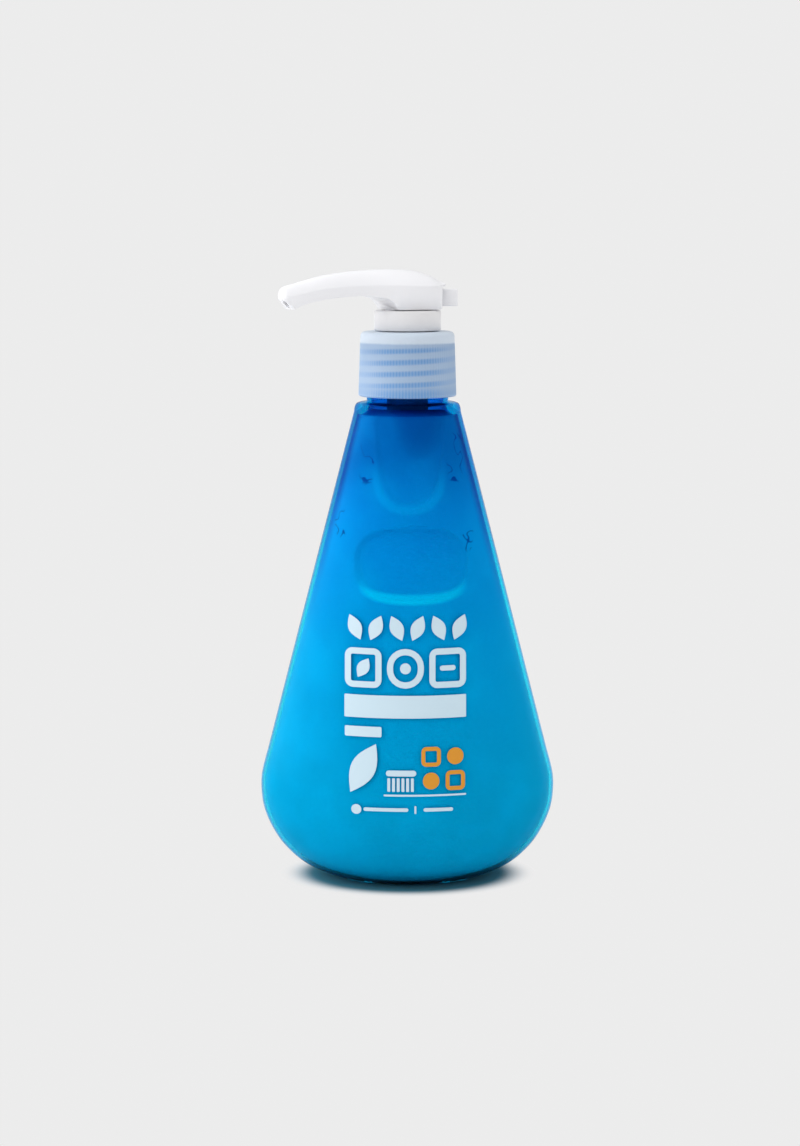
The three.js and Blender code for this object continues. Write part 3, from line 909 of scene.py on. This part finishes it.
# Inside that oval the floor's own colour is painted dark teal: a painted contact shadow, tinted as by
# light through the blue bottle, on top of the rendered shadow.
SHADOW_TINT = (0.09, 0.28, 0.34)
FLOOR_COLOUR = (0.8, 0.8, 0.8)


def plain_light(nodes, kind):
    """The even pale ground, as a shader of the given kind."""
    plain = nodes.add(kind)
    plain.inputs["Color"].default_value = (*BACKGROUND, 1)
    return plain


def make_floor():
    mesh = bpy.data.meshes.new("floor")
    size = FLOOR_HALF_SIZE
    corners = [(-size, -size, 0), (size, -size, 0), (size, size, 0), (-size, size, 0)]
    mesh.from_pydata(corners, [], [(0, 1, 2, 3)])
    floor = bpy.data.objects.new("floor", mesh)
    bpy.context.scene.collection.objects.link(floor)
    material = bpy.data.materials.new("pale_floor")
    material.use_nodes = True
    nodes = Nodes(material.node_tree)
    material.node_tree.nodes.clear()
    place = nodes.add("ShaderNodeTexCoord")
    oval_place = nodes.add("ShaderNodeVectorMath", operation="DIVIDE")
    oval_place.inputs[1].default_value = SHADOW_HALF_SIZES
    nodes.link(place.outputs["Object"], oval_place.inputs[0])
    distance = nodes.add("ShaderNodeVectorMath", operation="LENGTH")
    nodes.link(oval_place.outputs[0], distance.inputs[0])
    far = nodes.span(distance.outputs["Value"], 0.76, 1.06)
    lit = nodes.add("ShaderNodeBsdfDiffuse")
    # Painted shadow: the floor's colour darkens to the shadow tint towards the bottle.
    near = nodes.span(distance.outputs["Value"], 0.78, 1.04)
    nodes.link(nodes.mix(near, SHADOW_TINT, FLOOR_COLOUR), lit.inputs["Color"])
    plain = plain_light(nodes, "ShaderNodeEmission")
    seen = nodes.add("ShaderNodeLightPath")
    blend = nodes.add("ShaderNodeMixShader")
    shown = nodes.math("MULTIPLY", far, seen.outputs["Is Camera Ray"])
    nodes.link(shown, blend.inputs[0])
    nodes.link(lit.outputs[0], blend.inputs[1])
    nodes.link(plain.outputs[0], blend.inputs[2])
    output = nodes.add("ShaderNodeOutputMaterial")
    nodes.link(blend.outputs[0], output.inputs["Surface"])
    mesh.materials.append(material)


def make_world():
    world = bpy.data.worlds.new("studio")
    bpy.context.scene.world = world
    world.use_nodes = True
    nodes = Nodes(world.node_tree)
    world.node_tree.nodes.clear()
    seen = nodes.add("ShaderNodeLightPath")
    soft = nodes.add("ShaderNodeBackground")
    soft.inputs["Color"].default_value = (1, 1, 1, 1)
    direction = nodes.add("ShaderNodeTexCoord")
    facing = nodes.add("ShaderNodeVectorMath", operation="DOT_PRODUCT")
    facing.inputs[1].default_value = KEY_DIRECTION
    nodes.link(direction.outputs["Generated"], facing.inputs[0])
    lobe = nodes.math("POWER", nodes.math("MAXIMUM", facing.outputs["Value"], 0.0), KEY_FOCUS)
    key = nodes.math("MULTIPLY", lobe, KEY_STRENGTH)
    parts = nodes.add("ShaderNodeSeparateXYZ")
    nodes.link(direction.outputs["Generated"], parts.inputs[0])
    top = nodes.math("MULTIPLY", nodes.math("MAXIMUM", parts.outputs["Z"], 0.0), TOP_STRENGTH)
    side = nodes.math("MULTIPLY", nodes.math("MAXIMUM", parts.outputs["X"], 0.0), SIDE_STRENGTH)
    weak = nodes.math("ADD", top, side)
    light = nodes.math("ADD", nodes.math("ADD", key, weak), FILL_STRENGTH)
    nodes.link(light, soft.inputs["Strength"])
    plain = plain_light(nodes, "ShaderNodeBackground")
    blend = nodes.add("ShaderNodeMixShader")
    before_diffuse = nodes.math("LESS_THAN", seen.outputs["Diffuse Depth"], 0.5)
    through = nodes.math("MULTIPLY", seen.outputs["Is Transmission Ray"], before_diffuse)
    shown = nodes.math("MAXIMUM", seen.outputs["Is Camera Ray"], through)
    nodes.link(shown, blend.inputs[0])
    nodes.link(soft.outputs[0], blend.inputs[1])
    nodes.link(plain.outputs[0], blend.inputs[2])
    output = nodes.add("ShaderNodeOutputWorld")
    nodes.link(blend.outputs[0], output.inputs["Surface"])


# The camera looks 8.2 degrees down from 684 mm, a little left of the bottle's axis.
CAMERA_DISTANCE = 0.684
CAMERA_PITCH = 0.143
CAMERA_SIDE = -0.0021
AIM_HEIGHT = 0.08766
FOCAL_PIXELS = 2400
LONG_SIDE_PIXELS = 1146


def make_camera():
    camera = bpy.data.cameras.new("camera")
    camera.sensor_width = 36.0
    camera.lens = camera.sensor_width * FOCAL_PIXELS / LONG_SIDE_PIXELS
    camera.clip_start = 0.01
    holder = bpy.data.objects.new("camera", camera)
    holder.location = (
        CAMERA_SIDE,
        -CAMERA_DISTANCE * math.cos(CAMERA_PITCH),
        AIM_HEIGHT + CAMERA_DISTANCE * math.sin(CAMERA_PITCH),
    )
    holder.rotation_euler = (math.pi / 2 - CAMERA_PITCH, 0, 0)
    bpy.context.scene.collection.objects.link(holder)
    bpy.context.scene.camera = holder


make_camera()
dress_body()
dress_front()
dress_pump()
make_floor()
make_world()
bpy.context.scene.view_settings.view_transform = "Standard"
